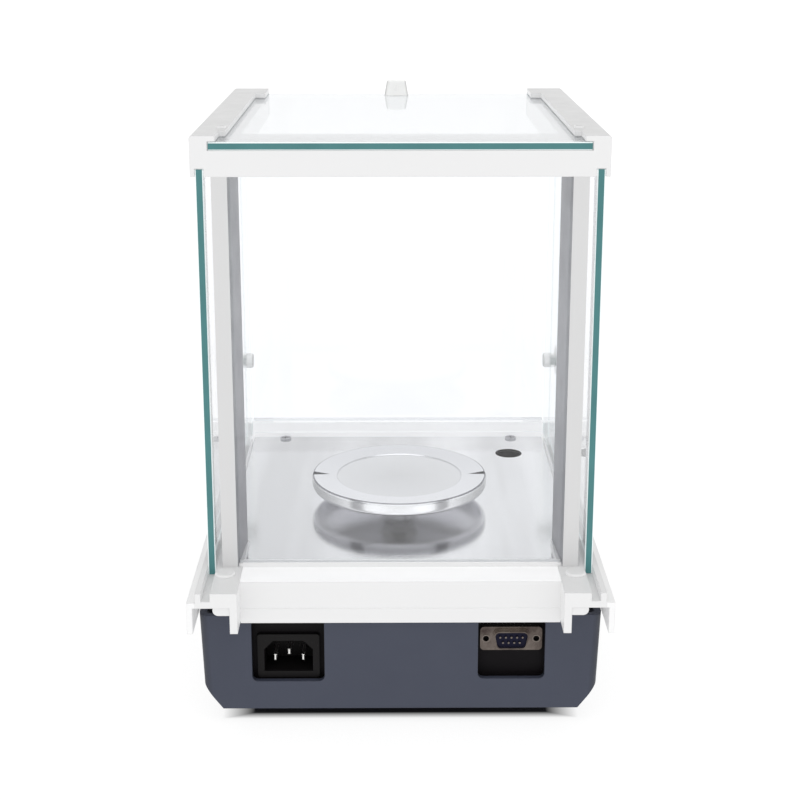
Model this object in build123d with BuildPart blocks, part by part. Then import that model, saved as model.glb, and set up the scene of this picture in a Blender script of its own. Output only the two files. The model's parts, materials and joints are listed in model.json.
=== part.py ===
from build123d import *
import math
import os

# Analytical balance with a glass draft shield.  Millimetres, +Z up.
# The origin is on the bench, under the middle of the footprint.
# The control panel faces -Y, the sockets face +Y.

# ---- overall ---------------------------------------------------------------
half_width = 103.1          # outside of the cover's side skirts
rear_end_y = 160.0          # rear ends of the cover's door rails
nose_y = -160.0             # front of the control panel's nose
foot_height = 8.0           # bench to the underside of the housing

# ---- lower housing ---------------------------------------------------------
housing_rear_y = 143.4
housing_front_y = -154.0
housing_wall = 3.0
housing_bottom_half = 88.6
housing_chamfer_z = 20.2
housing_chamfer_half = 98.0
housing_top_half = 99.5
housing_top_z = 58.6

# ---- top cover and its door rails ------------------------------------------
deck_z = 77.6               # top of the corner blocks and groove walls
deck_under_z = 70.0
skirt_top_z = 72.7
skirt_bottom_z = 56.7
skirt_inner = 100.3
lip_outer = 98.9
block_inner = 78.6          # inner side of the rear corner blocks
apron_y = 145.2             # rear face of the apron between the corner blocks
apron_top_z = 77.1
apron_bottom_z = 55.6
apron_band_z = 63.1         # top of the slightly proud band along the apron's foot
sill_top_z = 85.1           # front sill, which holds the foot of the front pane
sill_step_z = 78.7
sill_y = (-89.7, -80.3)
nose_bottom_z = 35.0

# ---- draft shield ----------------------------------------------------------
glass = 3.8                 # thickness of every door pane and of the front pane
shield_rear_y = 128.4
shield_front_y = -88.7
front_pane_y = -85.8
pane_front_y = shield_front_y + 1.8     # front edges of the sliding panes
post_front_y = 93.6
frame_bottom_z = 273.7
frame_seat_z = 286.0        # ledge that carries the top pane
frame_top_z = 292.9
frame_half = 98.2
door_centre_x = 93.9
groove_half_gap = 2.2      # half the width of the door grooves
groove_floor_z = 73.4
door_bottom_z = 73.7
door_top_z = 277.2
top_pane_half = 89.5
knob_y = -59.3
knob_z = 131.6

# ---- weighing chamber floor and pan ----------------------------------------
floor_top_z = 75.6
floor_sheet = 1.2
floor_half = 90.4
pan_y = 28.4
pan_radius = 48.5
pan_top_z = 91.0
pan_rim_height = 7.6
support_radius = 4.0
running_gap = 0.05          # radial clearance of a shaft in its bore
level_x = -67.2
level_y = -48.0
level_hole_radius = 8.0
floor_screw_x = 70.6
floor_screw_y = -76.2

# ---- control panel ---------------------------------------------------------
panel_top_y = -93.5
panel_top_z = 81.0
panel_low_y = -156.8
panel_low_z = 53.0
panel_centre = ((panel_top_y + panel_low_y) / 2, (panel_top_z + panel_low_z) / 2)
panel_slope = math.atan2(panel_top_z - panel_low_z, panel_top_y - panel_low_y)
panel_normal = (0, -math.sin(panel_slope), math.cos(panel_slope))
key_names = ("on_key", "off_key", "mode_key", "calibrate_key", "print_key", "tare_key")
key_pitch = 29.0
key_row = -18.0             # along the slope from the middle of the panel
key_cap = (23.0, 11.0)
overlay_size = (186.0, 60.0)
window_size = (104.0, 25.0)
window_row = 13.0

# ---- sockets ---------------------------------------------------------------
inlet_x = 55.8
inlet_z = 35.0
serial_x = -55.0
serial_z = 44.3
inlet_bay = (36.0, 22.9)    # width and lowest Z of the opening
serial_bay = (33.2, 24.0)
bay_top_z = 56.5
flange_y = 140.0            # outer faces of the socket flanges

# ---- feet ------------------------------------------------------------------
foot_x = 75.0
front_foot_y = -120.0
rear_foot_y = 112.0
stud_radius = 3.0
wheel_radius = 14.0

cover_screws = [(x, y) for x in (-85, 85) for y in (-85, 102)]

os.makedirs("parts", exist_ok=True)


def save(piece, name):
    """Label a finished piece and write its STEP file."""
    piece.part.label = name
    export_step(piece.part, f"parts/{name}.step")


def span(x, y, z, mode=Mode.ADD):
    """A block between the given (low, high) limits, in the current part."""
    middle = tuple((low + high) / 2 for low, high in (x, y, z))
    with Locations(middle):
        Box(x[1] - x[0], y[1] - y[0], z[1] - z[0], mode=mode)


def both_sides(x, y, z, mode=Mode.ADD):
    """The same block on the right (+X) and mirrored on the left."""
    span(x, y, z, mode)
    span((-x[1], -x[0]), y, z, mode)


def panel_plane(height):
    """Plane parallel to the control panel, height above its surface."""
    surface = Plane(origin=(0, *panel_centre), x_dir=(1, 0, 0), z_dir=panel_normal)
    return surface.offset(height)


# ============================================================================
# Lower housing
# ============================================================================
def tub(inset, rim_rise):
    """Outline of the tub, shrunk by inset, its rim raised by rim_rise."""
    low = foot_height + inset
    with BuildPart() as body:
        with BuildSketch(Plane.XZ.offset(inset - housing_rear_y)):
            with BuildLine():
                Polyline(
                    (-housing_bottom_half + inset, low),
                    (housing_bottom_half - inset, low),
                    (housing_chamfer_half - inset, housing_chamfer_z + inset / 3),
                    (housing_top_half - inset, housing_top_z + rim_rise),
                    (-housing_top_half + inset, housing_top_z + rim_rise),
                    (-housing_chamfer_half + inset, housing_chamfer_z + inset / 3),
                    close=True,
                )
            make_face()
        extrude(amount=housing_rear_y - housing_front_y - 2 * inset)
        upright = body.edges().filter_by(lambda e: abs(e.tangent_at(0.5).Z) > 0.99)
        fillet(upright, 5.0 - inset)
        with BuildSketch(Plane.YZ):
            with BuildLine():
                Polyline(
                    (housing_rear_y - inset, low),
                    (housing_rear_y - inset, housing_top_z + rim_rise),
                    (-84, housing_top_z + rim_rise),
                    (housing_front_y + inset, 43 + rim_rise),
                    (housing_front_y + inset, 22),
                    (housing_front_y + 14, low),
                    close=True,
                )
            make_face()
        extrude(amount=half_width, both=True, mode=Mode.INTERSECT)
    return body.part


with BuildPart() as base_housing:
    add(tub(0, 0))
    add(tub(housing_wall, 30), mode=Mode.SUBTRACT)
    # bosses that take the levelling feet, with pockets for their wheels
    with Locations((-foot_x, front_foot_y, foot_height), (foot_x, front_foot_y, foot_height)):
        Cylinder(19, 16, align=(Align.CENTER, Align.CENTER, Align.MIN))
        Cylinder(16.5, 5, align=(Align.CENTER, Align.CENTER, Align.MIN), mode=Mode.SUBTRACT)
        Cylinder(5, 16, align=(Align.CENTER, Align.CENTER, Align.MIN), mode=Mode.SUBTRACT)
    # sockets for the plugs of the fixed rear feet
    with Locations((-foot_x, rear_foot_y, foot_height), (foot_x, rear_foot_y, foot_height)):
        Cylinder(8, 9, align=(Align.CENTER, Align.CENTER, Align.MIN))
        Cylinder(4.1, 9, align=(Align.CENTER, Align.CENTER, Align.MIN), mode=Mode.SUBTRACT)
    # pillars under the chassis plate
    with Locations(*[(x, y, 10) for x in (-60, 60) for y in (-50, 80)]):
        Cylinder(6, 6, align=(Align.CENTER, Align.CENTER, Align.MIN))
        Cylinder(2, 6, align=(Align.CENTER, Align.CENTER, Align.MIN), mode=Mode.SUBTRACT)
    # pillars that take the screws up into the cover
    with Locations(*[(x, y, 10) for x, y in cover_screws]):
        Cylinder(5, housing_top_z - 10, align=(Align.CENTER, Align.CENTER, Align.MIN))
    with Locations(*[(x, y, foot_height) for x, y in cover_screws]):
        Cylinder(2.2, 52, align=(Align.CENTER, Align.CENTER, Align.MIN), mode=Mode.SUBTRACT)
        Cylinder(4.2, 6, align=(Align.CENTER, Align.CENTER, Align.MIN), mode=Mode.SUBTRACT)
    # the two openings for the sockets in the rear wall
    for centre, (width, low) in ((inlet_x, inlet_bay), (serial_x, serial_bay)):
        with BuildSketch(Plane.XZ.offset(-housing_rear_y - 1)):
            with Locations((centre, (low + bay_top_z) / 2)):
                RectangleRounded(width, bay_top_z - low, 3)
        extrude(amount=6, mode=Mode.SUBTRACT)
    # cooling slots in the bottom
    with Locations(*[(x, 20, foot_height) for x in (-24, -12, 0, 12, 24)]):
        Box(3.5, 40, 12, mode=Mode.SUBTRACT)
save(base_housing, "base_housing")

with BuildPart() as housing_screws:
    with Locations(*[(x, y, foot_height + 2) for x, y in cover_screws]):
        Cylinder(4, 4, align=(Align.CENTER, Align.CENTER, Align.MIN))
        Cylinder(2, 54, align=(Align.CENTER, Align.CENTER, Align.MIN))
        Cylinder(1.2, 1.6, align=(Align.CENTER, Align.CENTER, Align.MIN), mode=Mode.SUBTRACT)
save(housing_screws, "housing_screws")

# ============================================================================
# Top cover
# ============================================================================
groove = (door_centre_x - groove_half_gap, door_centre_x + groove_half_gap)
lip_y = (122.0, 127.0)           # lip along the front of the apron
lip_slot = (122.9, 126.1)        # its slot, which holds the foot of the rear pane
rear_pane_half = 80.5
rear_pane_low_z = 76.2
tray = (floor_top_z - 3.8, floor_top_z - floor_sheet)

with BuildPart() as top_cover:
    # door rails: groove walls, floor and outer skirt, one section on each side
    for side in (-1, 1):
        with BuildSketch(Plane.XZ.offset(-rear_end_y)):
            with BuildLine():
                Polyline(
                    (side * (groove[0] - 1.2), deck_under_z),
                    (side * (groove[0] - 1.2), deck_z),
                    (side * groove[0], deck_z),
                    (side * groove[0], groove_floor_z),
                    (side * groove[1], groove_floor_z),
                    (side * groove[1], deck_z),
                    (side * lip_outer, deck_z),
                    (side * lip_outer, skirt_top_z),
                    (side * half_width, skirt_top_z),
                    (side * half_width, skirt_bottom_z),
                    (side * skirt_inner, skirt_bottom_z),
                    (side * skirt_inner, deck_under_z),
                    close=True,
                )
            make_face()
        extrude(amount=rear_end_y - sill_y[0])
    # rear corner blocks with their cheeks and rounded lumps
    both_sides((block_inner, groove[0]), (post_front_y, rear_end_y), (deck_under_z, deck_z))
    both_sides((block_inner, block_inner + 3.8), (housing_rear_y + 0.2, rear_end_y),
               (skirt_bottom_z, deck_z))
    for side in (-1, 1):
        with BuildSketch(Plane.XZ.offset(0.8 - rear_end_y)):
            with Locations((side * 85.5, deck_under_z - 1.3)):
                RectangleRounded(10.2, 5.8, 2.8)
        extrude(amount=16)
    # apron: deck, rear face and the low band along its bottom
    span((-block_inner, block_inner), (lip_y[0], apron_y), (tray[0], apron_top_z))
    span((-block_inner, block_inner), (housing_rear_y + 0.2, apron_y), (apron_bottom_z, apron_top_z))
    span((-block_inner, block_inner), (apron_y, apron_y + 0.5), (apron_bottom_z, apron_band_z))
    # lip that holds the rear pane
    span((-rear_pane_half, rear_pane_half), lip_y, (apron_top_z - 1, 79.2))
    span((-rear_pane_half - 0.2, rear_pane_half + 0.2), lip_slot, (rear_pane_low_z, 80), mode=Mode.SUBTRACT)
    # tray under the chamber's floor plate
    span((-block_inner, block_inner), (sill_y[1], lip_y[0]), tray)
    both_sides((block_inner, groove[0] - 1), (sill_y[1], post_front_y + 1), tray)
    # front sill, stepped towards the chamber, with the slot of the front pane
    span((-91.5, 91.5), sill_y, (66, sill_top_z))
    span((-91.5, 91.5), (sill_y[1], sill_y[1] + 0.6), (tray[0], sill_step_z))
    span((-91.15, 91.15), (front_pane_y - 2.1, front_pane_y + 2.1), (80, sill_top_z + 1),
         mode=Mode.SUBTRACT)
    # openings for the pan support, the load cell and the bubble level
    with Locations((0, pan_y, tray[0])):
        Cylinder(24, 12, mode=Mode.SUBTRACT)
    with Locations((level_x, level_y, tray[0])):
        Cylinder(11.2, 12, mode=Mode.SUBTRACT)
    # bosses over the housing's screw pillars
    with Locations(*[(x, y, housing_top_z) for x, y in cover_screws]):
        Cylinder(5, 12, align=(Align.CENTER, Align.CENTER, Align.MIN))
        Cylinder(2, 5.6, align=(Align.CENTER, Align.CENTER, Align.MIN), mode=Mode.SUBTRACT)
    # sloping hood around the control panel
    with BuildSketch(Plane.YZ):
        with BuildLine():
            Polyline(
                (sill_y[0] + 1, skirt_bottom_z),
                (sill_y[0] + 1, panel_top_z + 0.6),
                (panel_top_y, panel_top_z),
                (panel_low_y, panel_low_z),
                (nose_y, 49.6),
                (nose_y, nose_bottom_z),
                close=True,
            )
        make_face()
    extrude(amount=half_width, both=True)
    with BuildSketch(Plane.YZ):
        with BuildLine():
            Polyline(
                (sill_y[0] - 2, nose_bottom_z - 2),
                (sill_y[0] - 2, panel_top_z - 4.4),
                (panel_low_y + 1, panel_low_z - 3.0),
                (nose_y + 3, 48.6),
                (nose_y + 3, nose_bottom_z - 2),
                close=True,
            )
        make_face()
    extrude(amount=skirt_inner, both=True, mode=Mode.SUBTRACT)
    # the hood's rear wall is open below the sill, where the housing's rim passes
    span((-skirt_inner, skirt_inner), (sill_y[0] - 3, sill_y[0] + 2), (50, 66), mode=Mode.SUBTRACT)
    # seat of the panel overlay, the display opening and the key openings
    with BuildSketch(panel_plane(-0.8)):
        RectangleRounded(overlay_size[0] + 0.4, overlay_size[1] + 0.4, 4.2)
    extrude(amount=3, mode=Mode.SUBTRACT)
    with BuildSketch(panel_plane(-8)):
        with Locations((0, window_row)):
            Rectangle(window_size[0] + 4, window_size[1] + 2)
        with Locations((0, key_row)):
            Rectangle(key_pitch * 5 + key_cap[0] + 6, key_cap[1] + 6)
    extrude(amount=12, mode=Mode.SUBTRACT)
save(top_cover, "top_cover")

with BuildPart() as post_screw_caps:
    with Locations(*[(side * 86.5, 137.0, deck_z) for side in (-1, 1)]):
        Cylinder(4.9, 1.5, align=(Align.CENTER, Align.CENTER, Align.MIN))
    fillet(post_screw_caps.edges().group_by(Axis.Z)[-1], 1.3)
save(post_screw_caps, "post_screw_caps")

# ============================================================================
# Chamber floor
# ============================================================================
with BuildPart() as floor_plate:
    with BuildSketch(Plane.XY.offset(floor_top_z - floor_sheet)):
        with BuildLine():
            Polyline(
                (-floor_half, sill_y[1] + 0.7),
                (floor_half, sill_y[1] + 0.7),
                (floor_half, post_front_y - 0.2),
                (block_inner - 0.2, post_front_y - 0.2),
                (block_inner - 0.2, lip_y[0] - 0.2),
                (-block_inner + 0.2, lip_y[0] - 0.2),
                (-block_inner + 0.2, post_front_y - 0.2),
                (-floor_half, post_front_y - 0.2),
                close=True,
            )
        make_face()
        with Locations((0, pan_y)):
            Circle(11, mode=Mode.SUBTRACT)
        with Locations((level_x, level_y)):
            Circle(level_hole_radius, mode=Mode.SUBTRACT)
        with Locations((-floor_screw_x, floor_screw_y), (floor_screw_x, floor_screw_y)):
            Circle(1.6, mode=Mode.SUBTRACT)
    extrude(amount=floor_sheet)
save(floor_plate, "floor_plate")

with BuildPart() as floor_plate_screws:
    with Locations(*[(side * floor_screw_x, floor_screw_y, floor_top_z) for side in (-1, 1)]):
        Cylinder(3.4, 0.9, align=(Align.CENTER, Align.CENTER, Align.MIN))
        Cylinder(1.55, floor_sheet, align=(Align.CENTER, Align.CENTER, Align.MAX))
        Box(4.4, 0.9, 1.0, align=(Align.CENTER, Align.CENTER, Align.MIN), mode=Mode.SUBTRACT)
        Box(0.9, 4.4, 1.0, align=(Align.CENTER, Align.CENTER, Align.MIN), mode=Mode.SUBTRACT)
save(floor_plate_screws, "floor_plate_screws")

# bubble level, hung under its hole in the floor plate
level_top_z = floor_top_z - floor_sheet
with BuildPart() as level_body:
    with Locations((level_x, level_y, level_top_z)):
        Cylinder(11, 12, align=(Align.CENTER, Align.CENTER, Align.MAX))
        Cylinder(7.4, 9, align=(Align.CENTER, Align.CENTER, Align.MAX), mode=Mode.SUBTRACT)
save(level_body, "level_body")

with BuildPart() as level_vial:
    with Locations((level_x, level_y, level_top_z - 9)):
        Cylinder(7.4, 6, align=(Align.CENTER, Align.CENTER, Align.MIN))
    fillet(level_vial.faces().sort_by(Axis.Z)[-1].edges(), 1.2)
save(level_vial, "level_vial")

# ============================================================================
# Draft shield: posts, top frame, fixed panes
# ============================================================================
post_rear_inner = 81.0
post_front_inner = 79.2
post_outer = 88.6


def post_section(inset):
    """Corners of the right-hand post's section, drawn in by inset."""
    return [
        (post_rear_inner + inset, shield_rear_y - inset),
        (post_outer - inset, shield_rear_y - inset),
        (post_outer - inset, post_front_y + inset),
        (post_front_inner + inset, post_front_y + inset),
    ]


for name, side in (("left_post", -1), ("right_post", 1)):
    with BuildPart() as post:
        with BuildSketch(Plane.XY.offset(deck_z)):
            with BuildLine():
                Polyline(*[(side * x, y) for x, y in post_section(0)], close=True)
            make_face()
            with BuildLine():
                Polyline(*[(side * x, y) for x, y in post_section(1.6)], close=True)
            make_face(mode=Mode.SUBTRACT)
        extrude(amount=frame_bottom_z - deck_z)
    save(post, name)

top_slot_half = top_pane_half + 0.4
post_screw_x = 84.9
post_screw_y = 113.0
with BuildPart() as top_frame:
    # side members run the full depth, the rear beam ties them together
    both_sides((77.4, frame_half), (shield_front_y, shield_rear_y), (frame_bottom_z, frame_top_z))
    span((-77.4, 77.4), (post_front_y, shield_rear_y), (frame_bottom_z, frame_seat_z))
    outer_top = top_frame.edges().filter_by(Axis.Y).group_by(Axis.Z)[-1]
    outer_top = outer_top.filter_by(lambda e: abs(e.center().X) > frame_half - 1)
    fillet(outer_top, 1.2)
    # channel of the sliding top pane, open at the rear
    span((-top_slot_half, top_slot_half), (pane_front_y - 0.3, shield_rear_y + 1),
         (frame_seat_z, frame_seat_z + glass + 0.5), mode=Mode.SUBTRACT)
    # the lips over the pane's edges stand back between the front corners
    for half, front in ((83.2, -60), (86.2, 110)):
        span((-half, half), (front, shield_rear_y + 1), (frame_seat_z, frame_top_z + 1),
             mode=Mode.SUBTRACT)
    # slots of the side doors, open at the rear
    both_sides(groove, (shield_front_y + 1.5, shield_rear_y + 1),
               (frame_bottom_z - 1, door_top_z + 0.4), mode=Mode.SUBTRACT)
    # slots for the upper corners of the front pane and the top of the rear pane
    span((-91.15, 91.15), (front_pane_y - 2.1, front_pane_y + 2.1),
         (frame_bottom_z - 1, frame_seat_z - 0.3), mode=Mode.SUBTRACT)
    span((-rear_pane_half - 0.1, rear_pane_half + 0.1), lip_slot, (frame_bottom_z - 1, 277.4),
         mode=Mode.SUBTRACT)
    # screw holes over the posts
    with Locations(*[(side * post_screw_x, post_screw_y, frame_seat_z) for side in (-1, 1)]):
        Cylinder(4.2, 3, align=(Align.CENTER, Align.CENTER, Align.MAX), mode=Mode.SUBTRACT)
        Cylinder(2.1, 13, align=(Align.CENTER, Align.CENTER, Align.MAX), mode=Mode.SUBTRACT)
    # small stops beside the lips
    both_sides((84.0, 88.4), (97, 102), (frame_top_z - 0.1, frame_top_z + 1.4))
    stops = top_frame.faces().filter_by(Axis.Z).group_by(Axis.Z)[-1]
    fillet(stops.edges(), 1.2)
save(top_frame, "top_frame")

with BuildPart() as frame_screws:
    with Locations(*[(side * post_screw_x, post_screw_y, frame_seat_z - 0.4) for side in (-1, 1)]):
        Cylinder(4.1, 2.6, align=(Align.CENTER, Align.CENTER, Align.MAX))
        Cylinder(1.7, 40, align=(Align.CENTER, Align.CENTER, Align.MAX))
        Box(5, 1, 2.4, align=(Align.CENTER, Align.CENTER, Align.MAX), mode=Mode.SUBTRACT)
        Box(1, 5, 2.4, align=(Align.CENTER, Align.CENTER, Align.MAX), mode=Mode.SUBTRACT)
save(frame_screws, "frame_screws")

with BuildPart() as front_glass:
    span((-91, 91), (front_pane_y - 2, front_pane_y + 2), (80, frame_seat_z - 0.5))
    chamfer(front_glass.edges(), 0.3)
save(front_glass, "front_glass")

with BuildPart() as rear_glass:
    span((-rear_pane_half, rear_pane_half), (123, 126), (rear_pane_low_z, 277.2))
    chamfer(rear_glass.edges(), 0.3)
save(rear_glass, "rear_glass")

# ============================================================================
# Sliding doors
# ============================================================================
knob_hole = 3.2
inner_cap = 4.5             # radius of the small cap inside the chamber
for side, word in ((-1, "left"), (1, "right")):
    outward = (side, 0, 0)
    inner_face = side * (door_centre_x - glass / 2)
    outer_face = side * (door_centre_x + glass / 2)
    low_x, high_x = sorted((inner_face, outer_face))
    with BuildPart() as door_glass:
        span((low_x, high_x), (pane_front_y, shield_rear_y), (door_bottom_z, door_top_z))
        chamfer(door_glass.edges(), 0.45)
        with BuildSketch(Plane(origin=(inner_face, knob_y, knob_z), z_dir=outward)):
            Circle(knob_hole)
        extrude(amount=glass, mode=Mode.SUBTRACT)
    save(door_glass, f"{word}_door_glass")

    with BuildPart() as door_knob:
        with BuildSketch(Plane(origin=(outer_face, knob_y, knob_z), z_dir=outward)):
            Circle(9)
        extrude(amount=half_width - abs(outer_face))
        fillet(door_knob.edges().sort_by(Axis.X)[-1 if side > 0 else 0], 1.6)
        with BuildSketch(Plane(origin=(outer_face, knob_y, knob_z), z_dir=outward)):
            Circle(knob_hole - 0.05)
        extrude(amount=-glass)
    save(door_knob, f"{word}_door_knob")

    with BuildPart() as door_cap:
        with BuildSketch(Plane(origin=(inner_face, knob_y, knob_z), z_dir=(-side, 0, 0))):
            Circle(inner_cap)
        extrude(amount=4)
        fillet(door_cap.edges().sort_by(Axis.X)[0 if side > 0 else -1], 1.3)
    save(door_cap, f"{word}_door_cap")

top_pane_z = frame_seat_z + 0.1
with BuildPart() as top_door_glass:
    span((-top_pane_half, top_pane_half), (pane_front_y, shield_rear_y),
         (top_pane_z, top_pane_z + glass))
    chamfer(top_door_glass.edges(), 0.45)
save(top_door_glass, "top_door_glass")

grip_base_z = top_pane_z + glass
grip_x = 1.0
with BuildPart() as top_door_grip:
    with BuildSketch(Plane.XY.offset(grip_base_z)):
        with Locations((grip_x, pane_front_y + 6.5)):
            RectangleRounded(14, 11, 2)
    with BuildSketch(Plane.XY.offset(grip_base_z + 8.7)):
        with Locations((grip_x, pane_front_y + 6)):
            RectangleRounded(11, 7, 2)
    loft()
    fillet(top_door_grip.faces().sort_by(Axis.Z)[-1].edges(), 1.2)
save(top_door_grip, "top_door_grip")

# ============================================================================
# Weighing pan, its support and the weigh cell
# ============================================================================
with BuildPart() as pan:
    rim_low = pan_top_z - pan_rim_height
    with BuildSketch(Plane.XZ):
        with BuildLine():
            Polyline(
                (0, rim_low + 1.6),
                (0, pan_top_z - 1.5),
                (34.2, pan_top_z - 1.5),
                (35, pan_top_z - 1.0),
                (pan_radius - 0.9, pan_top_z),
                (pan_radius - 0.4, pan_top_z - 0.15),
                (pan_radius - 0.25, pan_top_z - 0.9),
                (pan_radius, pan_top_z - 1.3),
                (pan_radius, pan_top_z - 4.6),
            )
            ThreePointArc(
                (pan_radius, pan_top_z - 4.6),
                (pan_radius - 0.7, pan_top_z - 6.6),
                (pan_radius - 2.2, rim_low),
            )
            Polyline(
                (pan_radius - 2.2, rim_low),
                (pan_radius - 3.0, rim_low),
                (pan_radius - 3.0, pan_top_z - 2.6),
                (36, pan_top_z - 3.4),
                (12, pan_top_z - 4.4),
                (8.5, rim_low + 1.6),
                (0, rim_low + 1.6),
            )
        make_face()
    revolve(axis=Axis.Z)
    with BuildSketch(Plane.XY.offset(rim_low - 4)):
        Circle(8)
    extrude(amount=6)
    with BuildSketch(Plane.XY.offset(rim_low - 4)):
        Circle(support_radius + running_gap)
    extrude(amount=5.2, mode=Mode.SUBTRACT)
    # a wedge-shaped cut at each side of the ring, open at the rim
    for side in (-1, 1):
        with BuildSketch(Plane.XY.offset(pan_top_z - 1.9)):
            with BuildLine():
                Polyline(
                    (side * 38.5, 0),
                    (side * (pan_radius + 1), 1.3),
                    (side * (pan_radius + 1), -1.3),
                    close=True,
                )
            make_face()
        extrude(amount=2.5, mode=Mode.SUBTRACT)
with BuildPart() as pan_in_place:
    with Locations((0, pan_y, 0)):
        add(pan.part)
save(pan_in_place, "pan")

cell_z = 20.0               # top of the chassis plate
carrier_top_z = 63.0
hub_seat_z = pan_top_z - pan_rim_height - 4 + 5.1
with BuildPart() as pan_support:
    with BuildSketch(Plane.XY.offset(carrier_top_z)):
        with Locations((0, pan_y)):
            Circle(9)
    extrude(amount=3)
    with BuildSketch(Plane.XY.offset(carrier_top_z + 3)):
        with Locations((0, pan_y)):
            Circle(support_radius)
    extrude(amount=hub_seat_z - carrier_top_z - 3)
    chamfer(pan_support.faces().sort_by(Axis.Z)[-1].edges(), 0.8)
save(pan_support, "pan_support")

with BuildPart() as cell_carrier:
    span((-13, 13), (pan_y - 12, pan_y + 10), (carrier_top_z - 3, carrier_top_z))
    span((-13, 13), (pan_y - 12, pan_y - 8), (26, carrier_top_z - 3))
save(cell_carrier, "cell_carrier")

with BuildPart() as chassis_plate:
    span((-74, 74), (-62, 92), (16, cell_z))
    fillet(chassis_plate.edges().filter_by(Axis.Z), 8)
    with Locations(*[(x, y, 18) for x in (-60, 60) for y in (-50, 80)]):
        Cylinder(2.2, 6, mode=Mode.SUBTRACT)
    with Locations((0, pan_y - 3, 18)):
        Box(30, 26, 6, mode=Mode.SUBTRACT)
save(chassis_plate, "chassis_plate")

with BuildPart() as chassis_screws:
    with Locations(*[(x, y, cell_z) for x in (-60, 60) for y in (-50, 80)]):
        Cylinder(4, 2.6, align=(Align.CENTER, Align.CENTER, Align.MIN))
        Cylinder(1.95, 9, align=(Align.CENTER, Align.CENTER, Align.MAX))
save(chassis_screws, "chassis_screws")

with BuildPart() as weigh_cell:
    # cast block with the parallel-guide windows that let its end flex
    span((-22, 22), (-52, 14), (cell_z, 56))
    with BuildSketch(Plane.YZ):
        with Locations((-12, 44), (-12, 28)):
            SlotOverall(44, 5)
        with Locations((-12, 36)):
            Rectangle(30, 6)
    extrude(amount=30, both=True, mode=Mode.SUBTRACT)
    chamfer(weigh_cell.edges().filter_by(Axis.Z), 1.5)
save(weigh_cell, "weigh_cell")

with BuildPart() as cell_magnet:
    with BuildSketch(Plane.XY.offset(cell_z)):
        with Locations((0, 66)):
            Circle(21)
    extrude(amount=28)
    fillet(cell_magnet.edges().group_by(Axis.Z)[-1], 2)
save(cell_magnet, "cell_magnet")

# ============================================================================
# Electronics inside the housing
# ============================================================================
with BuildPart() as main_board:
    span((-54, 54), (-138, -74), (22, 23.6))
save(main_board, "main_board")

with BuildPart() as board_standoffs:
    with Locations(*[(x, y, foot_height + housing_wall) for x in (-40, 40) for y in (-130, -82)]):
        Cylinder(3, 11, align=(Align.CENTER, Align.CENTER, Align.MIN))
save(board_standoffs, "board_standoffs")

with BuildPart() as board_parts:
    for x, y, size in ((-45, -120, (18, 18, 3)), (-10, -100, (26, 12, 4)), (25, -125, (14, 14, 9)),
                       (48, -98, (22, 16, 12)), (-46, -92, (20, 9, 7))):
        with Locations((x, y, 23.6)):
            Box(*size, align=(Align.CENTER, Align.CENTER, Align.MIN))
save(board_parts, "board_parts")

transformer_x = -44.0
transformer_y = 108.0
with BuildPart() as transformer_core:
    with Locations((transformer_x, transformer_y, 34)):
        Box(40, 18, 36)
        Box(26, 20, 24, mode=Mode.SUBTRACT)
        Box(8, 18, 28)
    with Locations((transformer_x, transformer_y, foot_height + housing_wall)):
        Box(40, 26, 5, align=(Align.CENTER, Align.CENTER, Align.MIN))
save(transformer_core, "transformer_core")

with BuildPart() as transformer_winding:
    with Locations((transformer_x, transformer_y, 34)):
        Box(25.4, 24, 23.4)
        Box(8, 26, 24, mode=Mode.SUBTRACT)
    fillet(transformer_winding.edges().filter_by(Axis.Z), 2.5)
save(transformer_winding, "transformer_winding")

# ============================================================================
# Sockets in the rear wall
# ============================================================================
bay_back_y = flange_y - 2.2
for name, centre, (width, low), hole in (
    ("inlet_bay", inlet_x, inlet_bay, (27.6, 20.2, inlet_z)),
    ("serial_bay", serial_x, serial_bay, (20.0, 11.0, serial_z)),
):
    outer = width / 2 + 2
    with BuildPart() as bay:
        span((centre - outer, centre + outer), (bay_back_y - 1.6, housing_rear_y - housing_wall),
             (low - 2, bay_top_z + 2))
        span((centre - outer + 2, centre + outer - 2), (bay_back_y, housing_rear_y), (low, bay_top_z),
             mode=Mode.SUBTRACT)
        span((centre - hole[0] / 2, centre + hole[0] / 2), (bay_back_y - 3, bay_back_y + 1),
             (hole[2] - hole[1] / 2, hole[2] + hole[1] / 2), mode=Mode.SUBTRACT)
    save(bay, name)

with BuildPart() as power_inlet:
    span((inlet_x - 15.5, inlet_x + 15.5), (bay_back_y, flange_y), (inlet_z - 11.7, inlet_z + 11.7))
    fillet(power_inlet.edges().filter_by(Axis.Y), 1.5)
    span((inlet_x - 13.7, inlet_x + 13.7), (flange_y - 24, bay_back_y), (inlet_z - 10, inlet_z + 10))
    with BuildSketch(Plane.XZ.offset(-flange_y)):
        with BuildLine():
            Polyline(
                (inlet_x - 12.1, inlet_z - 8.2),
                (inlet_x + 12.1, inlet_z - 8.2),
                (inlet_x + 12.1, inlet_z + 3.6),
                (inlet_x + 7.6, inlet_z + 8.2),
                (inlet_x - 7.6, inlet_z + 8.2),
                (inlet_x - 12.1, inlet_z + 3.6),
                close=True,
            )
        make_face()
    extrude(amount=17, mode=Mode.SUBTRACT)
save(power_inlet, "power_inlet")

with BuildPart() as inlet_pins:
    for x, z in ((-7, -3.0), (0, 0.2), (7, -3.0)):
        span((inlet_x + x - 0.75, inlet_x + x + 0.75), (flange_y - 17, flange_y - 4.4),
             (inlet_z + z - 1.6, inlet_z + z + 1.6))
    chamfer(inlet_pins.faces().filter_by(Axis.Y).group_by(Axis.Y)[-1].edges(), 0.4)
save(inlet_pins, "inlet_pins")


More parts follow.
